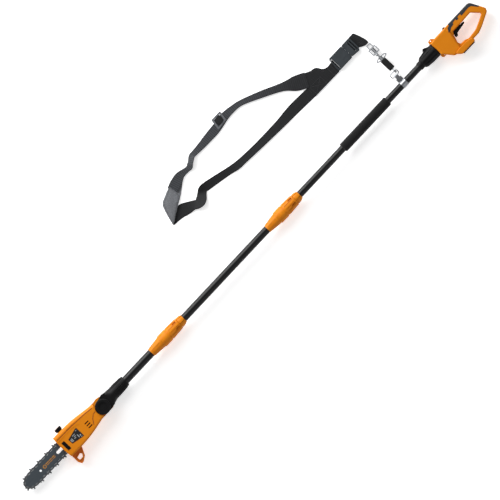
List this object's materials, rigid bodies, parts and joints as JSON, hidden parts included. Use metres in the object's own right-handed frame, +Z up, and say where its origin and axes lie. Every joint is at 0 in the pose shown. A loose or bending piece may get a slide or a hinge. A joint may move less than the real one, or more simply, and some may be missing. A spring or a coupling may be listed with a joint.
{
  "type": "telescoping pole saw",
  "caption": "Telescoping battery pole saw laid on its side: tilting saw head with bar and chain, three-stage pole with twist collars, loop handle and a shoulder strap.",
  "frame": {"origin": "on the ground, under the middle of the saw as it lies on its side with its strap laid out", "axes": "+X along the pole from the saw to the handle, +Y to the side of the oil cap and the top of the handle, +Z up from the ground"},
  "size_m": [2.3294, 0.4922, 0.071],
  "materials": {
    "orange_housing": "satin",
    "dark_orange_hook": "satin",
    "black_plastic": "matte",
    "soft_overmould": "matte",
    "black_tube": "satin",
    "foam": "matte",
    "bar_steel": "satin",
    "chain_steel": "satin",
    "bright_steel": "satin",
    "webbing": "woven",
    "pad_fabric": "woven",
    "buckle_plastic": "satin",
    "copper": "satin",
    "lead_rubber": "matte"
  },
  "bodies": {
    "grip_pole": {"handle_shell_left": "orange_housing", "handle_shell_right": "orange_housing", "handle_screws": "bright_steel", "grip_overmould": "soft_overmould", "trigger_pin": "bright_steel", "trigger_spring": "bright_steel", "switch_body": "black_plastic", "battery_rail": "black_plastic", "battery_terminals": "copper", "upper_tube": "black_tube", "foam_grip": "foam", "strap_hanger": "bright_steel", "hanger_screw": "bright_steel", "straight_lead": "lead_rubber", "snap_hook": "bright_steel", "hook_sleeve": "black_plastic", "roller_frame": "bright_steel", "buckle_socket": "buckle_plastic", "buckle_plug": "buckle_plastic", "buckle_tab": "webbing", "strap_fork": "webbing", "strap_upper_run": "webbing", "strap_lower_run": "webbing", "strap_slider": "buckle_plastic", "shoulder_pad": "pad_fabric"},
    "trigger": {"trigger": "black_plastic"},
    "lock_off": {"lock_off_button": "black_plastic"},
    "coupler": {"coupler_nut": "black_plastic"},
    "latch": {"coupler_latch": "black_plastic"},
    "ring": {"hanger_ring": "bright_steel"},
    "hook_release": {"hook_collar": "bright_steel"},
    "roller": {"roller": "bright_steel"},
    "buckle_release": {"buckle_button": "buckle_plastic"},
    "mid_pole": {"mid_tube": "black_tube", "collar_2_body": "orange_housing"},
    "nut_2": {"collar_2_nut": "orange_housing"},
    "lower_pole": {"lower_tube": "black_tube", "collar_1_body": "orange_housing", "head_yoke": "black_plastic", "tilt_bolt": "bright_steel", "coiled_lead": "lead_rubber"},
    "nut_1": {"collar_1_nut": "orange_housing"},
    "knob": {"tilt_knob": "black_plastic"},
    "head": {"head_shell_upper": "orange_housing", "head_shell_lower": "orange_housing", "head_screws": "bright_steel", "oil_window": "black_plastic", "sprocket_cover": "orange_housing", "bar_stud_and_nut": "bright_steel", "branch_hook": "dark_orange_hook", "oil_tank": "black_plastic", "guide_bar": "bar_steel", "saw_chain": "chain_steel", "drive_motor": "bright_steel", "shaft_bearing": "bright_steel", "chain_tension_screw": "bright_steel"},
    "cap": {"oil_cap": "black_plastic"},
    "motor_shaft": {"motor_pinion": "bright_steel"},
    "chain_drive": {"ring_gear_shaft": "bright_steel", "drive_sprocket": "bright_steel"}
  },
  "joints": [
    {"name": "mid_pole_slide", "type": "slide", "parent": "grip_pole", "child": "mid_pole", "axis": [1, 0, 0], "range_m": [0, 0.222]},
    {"name": "lower_pole_slide", "type": "slide", "parent": "mid_pole", "child": "lower_pole", "axis": [1, 0, 0], "range_m": [0, 0.18]},
    {"name": "mid_nut_turn", "type": "hinge", "parent": "mid_pole", "child": "nut_2", "pos_m": [0.15637, -0.15786, 0.032], "axis": [1, 0, 0], "range_deg": [0, 90]},
    {"name": "lower_nut_turn", "type": "hinge", "parent": "lower_pole", "child": "nut_1", "pos_m": [-0.44363, -0.15786, 0.032], "axis": [1, 0, 0], "range_deg": [0, 90]},
    {"name": "head_tilt", "type": "hinge", "parent": "lower_pole", "child": "head", "pos_m": [-0.76813, -0.16346, 0.032], "axis": [0, 0, 1], "range_deg": [-45, 45]},
    {"name": "tilt_knob_turn", "type": "hinge", "parent": "lower_pole", "child": "knob", "pos_m": [-0.76813, -0.16346, 0.062], "axis": [0, 0, 1], "range_deg": [0, 330]},
    {"name": "oil_cap_turn", "type": "hinge", "parent": "head", "child": "cap", "pos_m": [-0.93413, -0.10786, 0.037], "axis": [0, 1, 0], "range_deg": [0, 120]},
    {"name": "motor_spin", "type": "hinge", "parent": "head", "child": "motor_shaft", "pos_m": [-0.89363, -0.15786, 0.0385], "axis": [1, 0, 0], "continuous": true},
    {"name": "sprocket_spin", "type": "hinge", "parent": "head", "child": "chain_drive", "pos_m": [-0.91163, -0.15786, 0.024], "axis": [0, 0, 1], "continuous": true},
    {"name": "coupler_turn", "type": "hinge", "parent": "grip_pole", "child": "coupler", "pos_m": [0.90637, -0.15786, 0.032], "axis": [1, 0, 0], "range_deg": [0, 60]},
    {"name": "latch_press", "type": "slide", "parent": "coupler", "child": "latch", "axis": [0, -1, 0], "range_m": [0, 0.002], "stiffness_N_per_m": 400},
    {"name": "trigger_pull", "type": "hinge", "parent": "grip_pole", "child": "trigger", "pos_m": [1.03237, -0.15286, 0.032], "axis": [0, 0, 1], "range_deg": [0, 7], "stiffness_Nm_per_rad": 0.6},
    {"name": "lock_off_press", "type": "slide", "parent": "grip_pole", "child": "lock_off", "axis": [0, -1, 0], "range_m": [0, 0.004], "stiffness_N_per_m": 400},
    {"name": "ring_swing", "type": "hinge", "parent": "grip_pole", "child": "ring", "pos_m": [0.77837, -0.11936, 0.032], "axis": [1, 0, 0], "range_deg": [-10, 10]},
    {"name": "hook_release_pull", "type": "slide", "parent": "grip_pole", "child": "hook_release", "axis": [0, 0.9781, -0.2079], "range_m": [0, 0.004], "stiffness_N_per_m": 400},
    {"name": "roller_spin", "type": "hinge", "parent": "grip_pole", "child": "roller", "pos_m": [0.79037, -0.00311, 0.01059], "axis": [0, 0.9781, -0.2079], "continuous": true},
    {"name": "buckle_release_press", "type": "slide", "parent": "grip_pole", "child": "buckle_release", "axis": [0, 0, -1], "range_m": [0, 0.0012], "stiffness_N_per_m": 800}
  ],
  "couplings": [
    {"joint": "sprocket_spin", "follows": "motor_spin", "ratio": 0.375}
  ]
}
